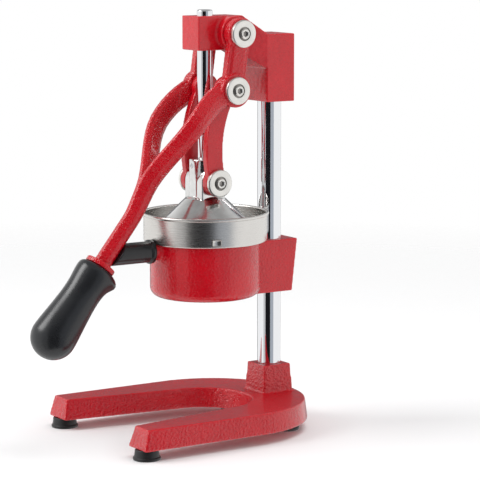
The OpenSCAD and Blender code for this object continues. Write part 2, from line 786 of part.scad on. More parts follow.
// Bolt with its head seated at x, in the washer's counterbore
module pivot_bolt(s, x, inner, y, z) color(NICKEL) placed() side(s)
    translate([x, y, z]) socket_bolt(bolt_d, x - inner, head_r, head_t, hex);

// Shouldered bolt: it turns on its full diameter and screws in on a thinner thread
module shoulder_bolt(s, x, shoulder, inner, y, z) color(NICKEL) placed() side(s)
    translate([x, y, z]) {
        socket_bolt(bolt_d, x - shoulder, head_r, head_t, hex);
        bar_x(bolt_d / 2 - 1, inner - x, shoulder - x + eps, 0, 0);
    }

module pivot_washer(s, x, y, z) color(NICKEL) placed() side(s) difference() {
    union() {
        bar_x(washer_r, x, x + washer_t - 0.6, y, z, round_fn);
        translate([x + washer_t - 0.6 - eps, y, z]) rotate([0, 90, 0])
            cylinder(r1 = washer_r, r2 = washer_r - 0.6, h = 0.6 + eps, $fn = round_fn);
    }
    bar_x(bolt_d / 2 + clamp_gap, x - 1, x + washer_t + 1, y, z);
    // Counterbore that the bolt's head sits in
    bar_x(recess_r, x + seat, x + washer_t + 1, y, z);
}

head_washer_x = crank_out + side_gap;
press_washer_x = link_out + side_gap;
elbow_washer_x = elbow_out;

module head_bolt(s)
    shoulder_bolt(s, head_washer_x + seat, head_boss_x, head_boss_x - 13, pivot_back, pivot_z);
module press_bolt(s)
    shoulder_bolt(s, press_washer_x + seat, ear_x, rod_d / 2 + 1.4, 0, press_z);
module elbow_bolt(s) pivot_bolt(s, elbow_washer_x + seat, fork_in + 0.2, elbow_y, elbow_z);
module head_washer(s) pivot_washer(s, head_washer_x, pivot_back, pivot_z);
module press_washer(s) pivot_washer(s, press_washer_x, 0, press_z);
module elbow_washer(s) pivot_washer(s, elbow_washer_x, elbow_y, elbow_z);

// ---------------------------------------------------------------- nodes

base();
column();
column_bolt();
column_washer();
foot_front_left();
foot_front_right();
foot_rear_left();
foot_rear_right();
foot_screws();
head();
head_set_screws();
bowl_holder();
holder_set_screws();
bumper();
juice_bowl();
strainer();
reamer();
guide_rod();
press_cone();
rod_pin();
link_left();
link_right();
handle();
grip();
head_bolt(-1);  // head_bolt_left
head_bolt(1);  // head_bolt_right
head_washer(-1);  // head_washer_left
head_washer(1);  // head_washer_right
elbow_bolt(-1);  // elbow_bolt_left
elbow_bolt(1);  // elbow_bolt_right
elbow_washer(-1);  // elbow_washer_left
elbow_washer(1);  // elbow_washer_right
press_bolt(-1);  // press_bolt_left
press_bolt(1);  // press_bolt_right
press_washer(-1);  // press_washer_left
press_washer(1);  // press_washer_right
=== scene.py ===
# %% [markdown]
# A lever citrus press is a handful of thick iron castings dipped in red enamel, two chromed
# steel shafts, a spun steel bowl and a polished aluminium press cone. The engineering model
# already holds every piece at its real size and place, so this lesson never moves anything.
# It loads that model as a fixed frame and dresses it: castings get soft edges and a hammered
# coat, turned pieces are spun from their outlines, and each finish is built from nodes.

# %% Load the frame
import math
import bmesh
import bpy
from mathutils import Matrix, Vector


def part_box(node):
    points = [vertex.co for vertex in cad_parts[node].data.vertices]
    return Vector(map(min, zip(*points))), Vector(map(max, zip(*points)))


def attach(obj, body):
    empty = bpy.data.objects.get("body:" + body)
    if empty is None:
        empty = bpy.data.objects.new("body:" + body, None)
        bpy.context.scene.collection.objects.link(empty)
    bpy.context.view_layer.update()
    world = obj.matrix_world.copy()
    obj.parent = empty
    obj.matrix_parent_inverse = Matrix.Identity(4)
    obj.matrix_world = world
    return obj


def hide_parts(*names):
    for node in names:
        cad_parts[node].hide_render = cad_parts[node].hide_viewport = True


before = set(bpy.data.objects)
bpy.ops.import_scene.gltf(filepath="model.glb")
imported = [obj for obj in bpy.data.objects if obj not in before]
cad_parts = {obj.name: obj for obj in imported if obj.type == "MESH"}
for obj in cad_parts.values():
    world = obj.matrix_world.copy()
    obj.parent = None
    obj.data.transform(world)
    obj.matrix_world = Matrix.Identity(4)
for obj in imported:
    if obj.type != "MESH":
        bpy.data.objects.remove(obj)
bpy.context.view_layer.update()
MM = 0.001
rod_low, rod_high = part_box("guide_rod")
AXIS_Y = (rod_low.y + rod_high.y) / 2

# %% [markdown]
# The eye stands off to the front right and a little above the bowl, far away through a long
# lens, so the press looks nearly parallel. A long lens is a choice about proportion: a short
# one close by would swell the near leg of the base. The camera looks straight along its own
# axis, with no shift, and is turned by two angles only.

# %% Camera
AZIMUTH = math.radians(57.05)
DIP = math.radians(8.31)
EYE = Vector((1.7532, AXIS_Y - 1.0970, 0.4842))
camera_data = bpy.data.cameras.new("camera")
camera_data.lens = 165
camera_data.sensor_width = 36
camera_data.clip_end = 30
camera = bpy.data.objects.new("camera", camera_data)
camera.location = EYE
camera.rotation_euler = (math.pi / 2 - DIP, 0, AZIMUTH)
bpy.context.scene.collection.objects.link(camera)
bpy.context.scene.camera = camera
print("eye at", tuple(round(v, 3) for v in EYE))

# %% [markdown]
# Every finish below is a small calculation: a noise here, a mask there, mixed into a colour.
# Wiring that by hand takes dozens of lines, so one small class wraps a socket and gives it
# plus, minus and times. `1 - mask` then adds a Math node by itself. A second class holds one
# material and makes any other node: its type, then its settings, then what goes in.

# %% Sockets that can be added and multiplied
class Wire:
    """The output of a node. Arithmetic on it adds Math or Vector Math nodes."""

    def __init__(self, finish, socket):
        self.finish = finish
        self.socket = socket

    def combine(self, operation, left, right):
        sides = (left, right)
        is_vector = any(isinstance(s, Wire) and s.socket.type == "VECTOR" for s in sides)
        kind = "ShaderNodeVectorMath" if is_vector else "ShaderNodeMath"
        if is_vector:
            sides = [s if isinstance(s, (Wire, tuple)) else (s, s, s) for s in sides]
        return self.finish.node(kind, {"operation": operation}, dict(enumerate(sides)))

    def __add__(self, other):
        return self.combine("ADD", self, other)

    def __radd__(self, other):
        return self.combine("ADD", other, self)

    def __sub__(self, other):
        return self.combine("SUBTRACT", self, other)

    def __rsub__(self, other):
        return self.combine("SUBTRACT", other, self)

    def __mul__(self, other):
        return self.combine("MULTIPLY", self, other)

    def __rmul__(self, other):
        return self.combine("MULTIPLY", other, self)


class Finish:
    """One material: a Principled shader, and nodes that feed it."""

    def __init__(self, name, **shader):
        self.material = bpy.data.materials.new(name)
        self.material.use_nodes = True
        self.tree = self.material.node_tree
        self.tree.nodes.clear()
        self.shader = self.tree.nodes.new("ShaderNodeBsdfPrincipled")
        surface = self.tree.nodes.new("ShaderNodeOutputMaterial")
        self.tree.links.new(self.shader.outputs[0], surface.inputs["Surface"])
        self.place = self.node("ShaderNodeTexCoord", output="Object")
        self.feed(**shader)

    def node(self, kind, settings=None, inputs=None, output=0):
        made = self.tree.nodes.new(kind)
        for key, value in (settings or {}).items():
            setattr(made, key, value)
        for key, value in (inputs or {}).items():
            self.connect(value, made.inputs[key])
        return Wire(self, made.outputs[output])

    def connect(self, value, socket):
        if isinstance(value, Wire):
            self.tree.links.new(value.socket, socket)
        else:
            socket.default_value = value

    def feed(self, **values):
        """Sets shader sockets: base_color means the socket Base Color."""
        for key, value in values.items():
            name = key.replace("_", " ").title().replace("Ior", "IOR")
            self.connect(value, self.shader.inputs[name])

    def noise(self, scale, detail=2.0, where=None, output="Fac"):
        inputs = {"Vector": where or self.place, "Scale": scale, "Detail": detail}
        return self.node("ShaderNodeTexNoise", None, inputs, output)

    def spread(self, value, low, high, to_low=0.0, to_high=1.0):
        """Stretches the part of value between low and high, and clips the rest."""
        inputs = {0: value, 1: low, 2: high, 3: to_low, 4: to_high}
        return self.node("ShaderNodeMapRange", {"clamp": True}, inputs)

    def mix(self, amount, first, second):
        inputs = {0: amount, 6: first, 7: second}
        return self.node("ShaderNodeMix", {"data_type": "RGBA"}, inputs, 2)

    def bump(self, height, distance, strength=1.0):
        inputs = {"Height": height, "Distance": distance, "Strength": strength}
        return self.node("ShaderNodeBump", None, inputs)


def rgb(red, green, blue):
    return (red, green, blue, 1.0)


# %% [markdown]
# The castings are sprayed with a thick red enamel that draws into pebbles as it dries. The
# legs and the lever carry it coarse; the head and the links came out nearly smooth. Pebbles
# are Voronoi cells whose lookup is pushed about by noise, so no two are alike, and a finer
# noise on top makes the orange peel. Raised edges are paler, partly because the paint is thin
# there and partly as a painted highlight along them; the hollows of the peel hold more colour.
# One function makes all the red finishes, with the pebble's size and depth.

# %% Red enamel
DEEP_RED = rgb(0.36, 0.0004, 0.005)
RED = rgb(0.56, 0.0015, 0.010)
# Paler red for raised edges: thin paint there, and also a painted highlight along the edges.
THIN_EDGE_AND_SHEEN_RED = rgb(0.74, 0.018, 0.030)


def enamel(name, pebble, depth, gloss=0.2):
    """Red enamel with pebbles of that size, and that deep, in metres."""
    paint = Finish(name, coat_weight=0.35, coat_roughness=0.06, specular_ior_level=0.5)
    drift = (paint.noise(0.6 / pebble, 1.0, output="Color") - 0.5) * (pebble * 1.4)
    cells = paint.node(
        "ShaderNodeTexVoronoi", {"feature": "SMOOTH_F1"},
        {"Vector": paint.place + drift, "Scale": 1 / pebble, "Smoothness": 0.7}, "Distance")
    peel = paint.noise(1.7 / pebble, 3.0)
    height = cells * 0.8 + peel * 0.55
    paint.feed(normal=paint.bump(height, depth))
    pool = paint.spread(paint.noise(38, 3.0), 0.35, 0.7)
    pointy = paint.node("ShaderNodeNewGeometry", output="Pointiness")
    # Raised edges turn paler: part thin paint, part a painted highlight along the edges.
    thin_edge_and_sheen = paint.spread(pointy, 0.515, 0.58)
    body = paint.mix(pool * 0.3 + paint.spread(peel, 0.6, 0.35) * 0.2, RED, DEEP_RED)
    paint.feed(base_color=paint.mix(thin_edge_and_sheen * 0.6, body, THIN_EDGE_AND_SHEEN_RED))
    scuff = paint.spread(paint.noise(90, 4.0), 0.5, 0.75)
    paint.feed(roughness=gloss + scuff * 0.08 + cells * 0.06)
    return paint.material


ENAMEL_BASE = enamel("enamel_base", 0.0024, 0.0012, 0.12)
ENAMEL_HOLDER = enamel("enamel_holder", 0.0022, 0.0006, 0.12)
ENAMEL_LEVER = enamel("enamel_lever", 0.0022, 0.0010, 0.10)
ENAMEL_HEAD = enamel("enamel_head", 0.0060, 0.00030, 0.24)
ENAMEL_LINK = enamel("enamel_link", 0.0018, 0.00022, 0.26)
print("red finishes:", [m.name for m in bpy.data.materials if m.name.startswith("enamel")])

# %% [markdown]
# Chrome is a mirror, so its look is what stands around it. The finish itself adds only the
# faint smears of handling. Polished cast aluminium keeps a little of the sand under its
# shine. The spun bowl was brushed on a lathe, so its lines run round it: a noise that is
# squeezed along Z is long round the wall and short up it. The nickel discs were faced on a
# lathe too, and show rings around their own middles.

# %% Bright metals
def chrome(name):
    metal = Finish(name, metallic=1.0, base_color=rgb(0.83, 0.84, 0.86))
    smear = metal.spread(metal.noise(55, 4.0), 0.45, 0.8)
    metal.feed(roughness=0.035 + smear * 0.06)
    metal.feed(normal=metal.bump(metal.noise(160, 2.0), 0.00002))
    return metal.material


def polished_casting(name):
    metal = Finish(name, metallic=1.0)
    cloud = metal.spread(metal.noise(70, 4.0), 0.35, 0.75)
    metal.feed(base_color=metal.mix(cloud, rgb(0.80, 0.80, 0.79), rgb(0.64, 0.64, 0.63)))
    metal.feed(roughness=0.13 + cloud * 0.10)
    sand = metal.noise(900, 3.0) * 0.3 + metal.noise(240, 2.0)
    metal.feed(normal=metal.bump(sand, 0.00006))
    return metal.material


def brushed_round(name, tone, rough, pitch=0.00035):
    """Metal that was brushed while it turned about the vertical."""
    metal = Finish(name, metallic=1.0, anisotropic=0.55)
    stretched = metal.place * (40.0, 40.0, 1 / pitch)
    lines = metal.noise(1.0, 3.0, stretched)
    cloud = metal.spread(metal.noise(60, 3.0), 0.3, 0.8)
    darker = tuple(channel * 0.86 for channel in tone[:3]) + (1.0,)
    metal.feed(base_color=metal.mix(lines * 0.5 + cloud * 0.3, tone, darker))
    metal.feed(roughness=rough + lines * 0.10)
    metal.feed(normal=metal.bump(lines, 0.00002))
    return metal.material


def faced_disc(name, tone, centre):
    """A lathe-faced disc, with rings about an axis along X through the centre."""
    metal = Finish(name, metallic=1.0)
    flat = (metal.place - tuple(centre)) * (0.0, 1.0, 1.0)
    reach = metal.node("ShaderNodeVectorMath", {"operation": "LENGTH"}, {0: flat}, "Value")
    tall = metal.node("ShaderNodeCombineXYZ", None, {0: reach * 2600.0})
    rings = metal.noise(1.0, 3.0, tall)
    cloud = metal.spread(metal.noise(130, 3.0), 0.35, 0.8)
    worn = tuple(channel * 0.84 for channel in tone[:3]) + (1.0,)
    metal.feed(base_color=metal.mix(rings * 0.35 + cloud * 0.35, tone, worn))
    metal.feed(roughness=0.27 + rings * 0.08 + cloud * 0.06)
    metal.feed(normal=metal.bump(rings, 0.00003))
    return metal.material


def plain_steel(name, tone, rough):
    metal = Finish(name, metallic=1.0)
    cloud = metal.spread(metal.noise(180, 4.0), 0.35, 0.75)
    dark = tuple(channel * 0.6 for channel in tone[:3]) + (1.0,)
    metal.feed(base_color=metal.mix(cloud * 0.6, tone, dark))
    metal.feed(roughness=rough + cloud * 0.15)
    metal.feed(normal=metal.bump(metal.noise(700, 3.0), 0.00005))
    return metal.material


NICKEL_TONE = rgb(0.86, 0.84, 0.80)
CHROME = chrome("chrome")
CAST_ALUMINIUM = polished_casting("cast_aluminium")
BOWL_STEEL = brushed_round("bowl_steel", rgb(0.74, 0.72, 0.69), 0.22)
ZINC = plain_steel("zinc_steel", rgb(0.60, 0.61, 0.63), 0.35)
BLACK_STEEL = plain_steel("black_steel", rgb(0.07, 0.07, 0.07), 0.4)
# Dark steel used only as painted shade, on the floors of pivot recesses and bolt sockets.
RECESS_SHADE_STEEL = plain_steel("recess_shade_steel", rgb(0.36, 0.34, 0.32), 0.35)
print("bright metals made")

# %% [markdown]
# The grip, the bumper and the feet are moulded rubber. Black rubber is never black: it is a
# dark grey with a soft sheen, dustier where it is handled, and the mould leaves a fine skin.
# The bumper is harder and glossier than the grip.

# %% Black rubber
def rubber(name, tone, rough, skin):
    gum = Finish(name, specular_ior_level=0.5)
    dust = gum.spread(gum.noise(45, 4.0), 0.4, 0.8)
    pale = tuple(channel * 1.9 for channel in tone[:3]) + (1.0,)
    gum.feed(base_color=gum.mix(dust * 0.5, tone, pale))
    gum.feed(roughness=rough + dust * 0.09)
    grain = gum.noise(1500, 2.0) * 0.6 + gum.noise(420, 2.0) * 0.4
    gum.feed(normal=gum.bump(grain, skin))
    return gum.material


GRIP_RUBBER = rubber("grip_rubber", rgb(0.012, 0.013, 0.015), 0.26, 0.00004)
BUMPER_RUBBER = rubber("bumper_rubber", rgb(0.010, 0.010, 0.011), 0.22, 0.00003)
FOOT_RUBBER = rubber("foot_rubber", rgb(0.012, 0.012, 0.013), 0.45, 0.00006)
print("rubbers made")

# %% [markdown]
# Three ways of making a mesh cover the whole press. Turned pieces are spun from half an
# outline. Castings start from a copy of the engineering solid: a voxel remesh gives it even
# quads all over, and a few rounds of smoothing then wear every sharp edge to the soft radius
# of a sand casting, which a bevel can't do where so many faces cross. The rest is built by
# hand. Everything is made in place, in metres, and then rides on the body it belongs to.

# %% Piece helpers
def settle(name, mesh, body, material, stands_for, smooth_angle=40):
    """Puts a finished mesh into the scene as a piece of the press."""
    mesh.materials.clear()
    mesh.materials.append(material)
    mesh.polygons.foreach_set("use_smooth", [True] * len(mesh.polygons))
    if smooth_angle:
        mesh.set_sharp_from_angle(angle=math.radians(smooth_angle))
    piece = bpy.data.objects.new(name, mesh)
    bpy.context.scene.collection.objects.link(piece)
    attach(piece, body)
    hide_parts(stands_for)
    print(f"{name}: {len(mesh.polygons)} faces")
    return piece


def softened(points, radius, closed=False, steps=4):
    """Rounds the corners of an outline; radius is one number, or one for each point."""
    radii = radius if isinstance(radius, (list, tuple)) else [radius] * len(points)
    count = len(points)
    out = []
    for i, point in enumerate(points):
        ends = not closed and i in (0, count - 1)
        here = Vector(point[:2])
        if ends or radii[i] <= 0:
            out.append(tuple(here))
            continue
        before, after = Vector(points[i - 1][:2]), Vector(points[(i + 1) % count][:2])
        cut = min(radii[i], (before - here).length * 0.45, (after - here).length * 0.45)
        start = here + (before - here).normalized() * cut
        stop = here + (after - here).normalized() * cut
        for k in range(steps + 1):
            t = k / steps
            out.append(tuple(start * (1 - t) ** 2 + here * 2 * t * (1 - t) + stop * t * t))
    return out


def spin(profile, closed=False, steps=96, hexagon=(), swell=None):
    """Spins (radius, height) points about Z. Points listed in hexagon follow a hexagon."""
    bm = bmesh.new()
    rings = []
    for i, (radius, height) in enumerate(profile):
        if radius < 1e-7:
            rings.append([bm.verts.new((0, 0, height))])
            continue
        ring = []
        for k in range(steps):
            turn = 2 * math.pi * k / steps
            reach = radius
            if i in hexagon:
                off = (turn + math.pi / 6) % (math.pi / 3) - math.pi / 6
                reach = radius * math.cos(math.pi / 6) / math.cos(off)
            if swell:
                reach += swell(turn, height)
            ring.append(bm.verts.new((reach * math.cos(turn), reach * math.sin(turn), height)))
        rings.append(ring)
    pairs = list(zip(rings, rings[1:])) + ([(rings[-1], rings[0])] if closed else [])
    for low, high in pairs:
        for k in range(steps):
            m = (k + 1) % steps
            if len(low) == 1 and len(high) == 1:
                continue
            if len(low) == 1:
                bm.faces.new((low[0], high[m], high[k]))
            elif len(high) == 1:
                bm.faces.new((low[k], low[m], high[0]))
            else:
                bm.faces.new((low[k], low[m], high[m], high[k]))
    bmesh.ops.recalc_face_normals(bm, faces=bm.faces)
    mesh = bpy.data.meshes.new("spun")
    bm.to_mesh(mesh)
    bm.free()
    return mesh


def aimed(origin, direction, up=Vector((0, 0, 1))):
    """The placing that takes +Z to the direction and the middle to the origin."""
    z = Vector(direction).normalized()
    x = up.cross(z)
    if x.length < 1e-6:
        x = Vector((1, 0, 0))
    x.normalize()
    y = z.cross(x)
    turn = Matrix((x, y, z)).transposed().to_4x4()
    return Matrix.Translation(origin) @ turn


def solid_copy(node, name):
    """A welded copy of an engineering solid, on its own."""
    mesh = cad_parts[node].data.copy()
    bm = bmesh.new()
    bm.from_mesh(mesh)
    bmesh.ops.remove_doubles(bm, verts=bm.verts, dist=1e-6)
    bm.to_mesh(mesh)
    bm.free()
    mesh.name = name
    return mesh


def cast(node, name, body, material, voxel=0.0009, rounds=6):
    """A casting with soft edges, from the engineering solid of the same node."""
    rough = bpy.data.objects.new("rough", solid_copy(node, name))
    bpy.context.scene.collection.objects.link(rough)
    remesh = rough.modifiers.new("voxels", "REMESH")
    remesh.mode = "VOXEL"
    remesh.voxel_size = voxel
    smooth = rough.modifiers.new("smooth", "SMOOTH")
    smooth.factor = 0.5
    smooth.iterations = rounds
    ready = rough.evaluated_get(bpy.context.evaluated_depsgraph_get())
    mesh = bpy.data.meshes.new_from_object(ready)
    bpy.data.objects.remove(rough)
    return settle(name, mesh, body, material, node, smooth_angle=0)


# %% [markdown]
# The base is a horseshoe of iron with leaning sides, a block that holds the column, and soft
# edges where the sand mould was patted smooth. The holder is a ring with an arm, and the
# head is a beam with a box at its back. They are all cast copies: only the voxel and the
# rounds of smoothing differ, because a big casting has broader edges than a small one.

# %% Castings
cast("base", "base_casting", "frame", ENAMEL_BASE, 0.0010, 8)
cast("head", "head_casting", "frame", ENAMEL_HEAD, 0.0008, 7)
cast("bowl_holder", "holder_casting", "frame", ENAMEL_HOLDER, 0.0009, 6)
cast("handle", "handle_casting", "handle", ENAMEL_LEVER, 0.0007, 8)
for side in ("left", "right"):
    cast("link_" + side, "link_bar_" + side, "links", ENAMEL_LINK, 0.0006, 6)
cast("press_cone", "press_cone_casting", "press", CAST_ALUMINIUM, 0.0006, 6)
cast("bumper", "bumper_rubber", "frame", BUMPER_RUBBER, 0.0005, 5)

# %% [markdown]
# The column and the guide rod are ground bar, chromed after a small bevel was turned on
# their ends. A mirror shows every flat of a coarse cylinder, so they are spun with many
# sides and keep true round edges.

# %% Chromed shafts
def shaft(node, name, body, bevel):
    low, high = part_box(node)
    radius = (high.x - low.x) / 2
    length = high.z - low.z
    outline = softened(
        [(0, 0), (radius, 0), (radius, length - bevel), (radius - bevel, length), (0, length)],
        0.0005)
    mesh = spin(outline, steps=128)
    mesh.transform(Matrix.Translation(((low.x + high.x) / 2, (low.y + high.y) / 2, low.z)))
    settle(name, mesh, body, CHROME, node)
    print(name, "radius", round(radius, 4))


shaft("column", "column_bar", "frame", 1 * MM)
shaft("guide_rod", "guide_rod_bar", "press", 1 * MM)

# %% [markdown]
# The juice bowl is thin sheet spun over a former: an upper dish that sits on the holder, a
# rolled bead that stiffens the rim, a narrower well inside the holder, and a funnel with a
# short spout. One closed outline holds both skins of the sheet, so light can catch the real
# edge. The small lugs low on the wall are separate stampings, spot-welded on.

# %% Juice bowl
bowl_low, bowl_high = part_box("juice_bowl")
BEAD = 1.5 * MM
BEAD_STEPS = 16
SHEET = 1.0 * MM
LUG_SIZE = (2.6 * MM, 9.0 * MM, 6.4 * MM)
LUG_RISE = 5.5 * MM
LUG_TURN = 68.5
wall_radius = bowl_high.y - AXIS_Y - BEAD - 0.4 * MM
rim_z = bowl_high.z
seat_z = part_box("strainer")[0].z - SHEET
bead_foot = rim_z - 3.4 * MM
well_radius = wall_radius - 12 * MM
spout_radius = 12 * MM
cone_z = bowl_low.z + 20 * MM
bead_middle = (wall_radius - SHEET / 2 + 0.9 * MM, rim_z - BEAD)
bead = []
for k in range(BEAD_STEPS + 1):
    turn = math.radians(205 - k * 290 / BEAD_STEPS)
    bead.append((bead_middle[0] + BEAD * math.cos(turn), bead_middle[1] + BEAD * math.sin(turn)))
outer = [(spout_radius, bowl_low.z), (spout_radius, bowl_low.z + 8 * MM), (well_radius, cone_z),
         (well_radius, seat_z), (wall_radius, seat_z), (wall_radius, bead_foot)]
inner = [(wall_radius - SHEET, bead_foot), (wall_radius - SHEET, seat_z + SHEET),
         (well_radius - SHEET, seat_z + SHEET), (well_radius - SHEET, cone_z),
         (spout_radius - SHEET, bowl_low.z + 8.4 * MM), (spout_radius - SHEET, bowl_low.z)]
outline = softened(outer, [0, 3 * MM, 3 * MM, 1 * MM, 2.2 * MM, 0], steps=5)
outline += list(reversed(bead))
outline += softened(inner, [0, 1.6 * MM, 1.6 * MM, 3 * MM, 3 * MM, 0], steps=5)
bowl_mesh = spin(outline, closed=True, steps=160)


def lug_mesh():
    """A stamped tab with a dished face, drawn flat: X is out of the wall, Z is up."""
    bm = bmesh.new()
    bmesh.ops.create_cube(bm, size=1.0)
    bmesh.ops.scale(bm, vec=LUG_SIZE, verts=bm.verts)
    front = [f for f in bm.faces if f.normal.x > 0.9]
    bmesh.ops.inset_region(bm, faces=front, thickness=1.6 * MM)
    dish = list({v for f in front for v in f.verts})
    bmesh.ops.translate(bm, vec=(-LUG_SIZE[0] / 2, 0, 0), verts=dish)
    bmesh.ops.bevel(bm, geom=bm.edges[:], offset=0.35 * MM, segments=2, affect="EDGES")
    mesh = bpy.data.meshes.new("lug")
    bm.to_mesh(mesh)
    bm.free()
    return mesh


bm = bmesh.new()
bm.from_mesh(bowl_mesh)
for turn in (-LUG_TURN, LUG_TURN, 180):
    tab = lug_mesh()
    spot = Matrix.Rotation(math.radians(turn - 90), 4, "Z")
    tab.transform(spot @ Matrix.Translation((wall_radius + 0.8 * MM, 0, seat_z + LUG_RISE)))
    bm.from_mesh(tab)
bmesh.ops.translate(bm, vec=(0, AXIS_Y, 0), verts=bm.verts)
bm.to_mesh(bowl_mesh)
bm.free()
settle("bowl_sheet", bowl_mesh, "frame", BOWL_STEEL, "juice_bowl", 50)
print("bowl wall radius", round(wall_radius, 4), "rim at", round(rim_z, 4))

# %% [markdown]
# The grip is a moulded rubber handle pushed on the lever's tang. Its outline swells towards
# the palm and ends in a round bulb, and a finger guard grows out of the lower side next to
# the collar. It is spun first; the guard is then a push outwards that fades round the grip
# and along it, which keeps the surface one smooth skin.

# %% Grip
grip_low, grip_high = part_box("grip")
STEM_SLOPE = math.radians(51.3)
GUARD_AT = 6.5 * MM
GUARD_LENGTH = 4.6 * MM
GUARD_RISE = 7.0 * MM
down_stem = Vector((0, -math.cos(STEM_SLOPE), -math.sin(STEM_SLOPE)))
GRIP_R = 21.3 * MM
GRIP_LEN = 98 * MM
bulb = Vector((0, grip_low.y + GRIP_R, grip_low.z + GRIP_R))
grip_top = bulb - down_stem * (GRIP_LEN - GRIP_R)
waist = [(0, 0), (12.5, 0), (16.6, 0.9), (18.5, 3.6), (19.0, 8), (18.3, 15), (17.4, 24), (17.3, 31),
         (17.9, 41), (19.1, 53), (20.5, 65), (21.2, 73)]
grip_outline = [(r * MM, z * MM) for r, z in waist]
for k in range(19):
    turn = math.radians(k * 5)
    grip_outline.append((GRIP_R * math.cos(turn), GRIP_LEN - GRIP_R + GRIP_R * math.sin(turn)))
grip_outline[-1] = (0, GRIP_LEN)


def finger_guard(turn, height):
    lean = max(0.0, math.cos(turn + math.pi / 2)) ** 3
    along = math.exp(-((height - GUARD_AT) / GUARD_LENGTH) ** 2)
    return GUARD_RISE * lean * along


grip_mesh = spin(grip_outline, steps=128, swell=finger_guard)
grip_mesh.transform(aimed(grip_top, down_stem))
grip = settle("grip_handle", grip_mesh, "handle", GRIP_RUBBER, "grip", 60)
rounding = grip.modifiers.new("rounding", "SUBSURF")
rounding.levels = rounding.render_levels = 1
print("grip from", tuple(round(v, 4) for v in grip_top), "to", tuple(round(v, 4) for v in bulb))

# %% [markdown]
# The feet are hollow rubber cones with a thicker lip at the floor, held by a screw from
# below. Their outline has a fine groove above the lip, where the mould halves met.

# %% Feet
SCREW_R = 2.6 * MM
SCREW_SEAT_R = 6 * MM
SCREW_SEAT_Z = 3.2 * MM


def foot(node):
    low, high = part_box(node)
    radius = (high.x - low.x) / 2
    top = high.z
    outline = [(SCREW_R, SCREW_SEAT_Z), (SCREW_SEAT_R, SCREW_SEAT_Z), (SCREW_SEAT_R, 0),
               (radius - 0.4 * MM, 0), (radius, 1.6 * MM), (radius - 0.2 * MM, 2.5 * MM),
               (radius - 1.1 * MM, 2.9 * MM), (radius - 1.2 * MM, 3.4 * MM),
               (radius - 1.9 * MM, top - 0.6 * MM), (radius - 2.3 * MM, top), (SCREW_R, top)]
    mesh = spin(softened(outline, 0.35 * MM, closed=True, steps=3), closed=True, steps=72)
    mesh.transform(Matrix.Translation(((low.x + high.x) / 2, (low.y + high.y) / 2, 0)))
    settle(node.replace("foot", "rubber_foot"), mesh, "frame", FOOT_RUBBER, node)


for end in ("front", "rear"):
    for side in ("left", "right"):
        foot(f"foot_{end}_{side}")

# %% [markdown]
# Each pivot ends in a nickel-plated disc with a recess turned in its middle, and the round
# head of the pivot bolt sits in that recess with a hexagon socket. The gap between head and
# recess reads as a dark ring, so both are modelled, and the floors of recess and socket get
# a dark steel finish as painted shade. Discs and bolts share one function: it reads the axis
# and the faces from the engineering pieces.

# %% Pivot discs and bolts
RECESS_R = 6.5 * MM
RECESS = 1.4 * MM
BORE_R = 4.1 * MM
SHANK_R = 3.9 * MM
HEAD_R = 4.8 * MM
HEX_R = 2.9 * MM
HEX_DEPTH = 1.9 * MM


def shaded_inside(piece, aim, radius, below):
    """Faces inside that radius and below that height get a dark steel: painted shade on the floor
    of a recess or a socket.
    """
    # The dark steel is painted shade, standing in for the shadow inside the hollow.
    piece.data.materials.append(RECESS_SHADE_STEEL)
    back = aim.inverted()
    for face in piece.data.polygons:
        spot = back @ face.center
        if math.hypot(spot.x, spot.y) < radius and 0 < spot.z < below:
            face.material_index = 1


def pivot(place, side, body):
    washer, bolt = f"{place}_washer_{side}", f"{place}_bolt_{side}"
    low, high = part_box(washer)
    sign = 1 if side == "right" else -1
    inner_x, outer_x = (low.x, high.x) if sign > 0 else (high.x, low.x)
    middle = Vector((inner_x, (low.y + high.y) / 2, (low.z + high.z) / 2))
    radius = (high.z - low.z) / 2
    thick = abs(outer_x - inner_x)
    floor = thick - RECESS
    points = [(BORE_R, 0), (radius - 0.3 * MM, 0), (radius, 0.3 * MM), (radius, thick - 0.8 * MM),
              (radius - 0.8 * MM, thick), (RECESS_R, thick), (RECESS_R, floor), (BORE_R, floor)]
    mesh = spin(softened(points, 0.25 * MM, closed=True, steps=3), closed=True, steps=96)
    aim = aimed(middle, (sign, 0, 0))
    mesh.transform(aim)
    nickel = faced_disc(f"nickel_{place}_{side}", NICKEL_TONE, middle)
    disc = settle(f"{place}_disc_{side}", mesh, body, nickel, washer)
    # Painted shade: the floor of the disc's recess is given the dark steel.
    shaded_inside(disc, aim, RECESS_R, thick - 0.5 * MM)

    low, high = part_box(bolt)
    shank = abs((low.x if sign > 0 else high.x) - inner_x)
    top = abs((high.x if sign > 0 else low.x) - inner_x)
    depth = top - HEX_DEPTH
    points = [(0, -shank), (SHANK_R - 1 * MM, -shank), (SHANK_R, 1 * MM - shank), (SHANK_R, floor),
              (HEAD_R, floor), (HEAD_R, top - 0.7 * MM), (HEAD_R - 0.7 * MM, top),
              (HEX_R + 0.2 * MM, top), (HEX_R, top - 0.2 * MM), (HEX_R, depth), (0, depth)]
    mesh = spin(points, steps=72, hexagon=(8, 9))
    mesh.transform(aim)
    pin = settle(f"{place}_pin_{side}", mesh, body, nickel, bolt, 30)
    # Painted shade: the floor of the hexagon socket is given the dark steel.
    shaded_inside(pin, aim, HEX_R * 0.97, depth + 0.2 * MM)


for place, body in (("head", "frame"), ("elbow", "handle"), ("press", "press")):
    for side in ("left", "right"):
        pivot(place, side, body)

# %% [markdown]
# Under the press cone a ribbed reamer stands on a pierced strainer. Both are hidden while
# the press is down and come into view when the lever is raised. The reamer is a blunt cone
# whose skin rises and falls eight times round, which a push outwards on a spun cone gives.

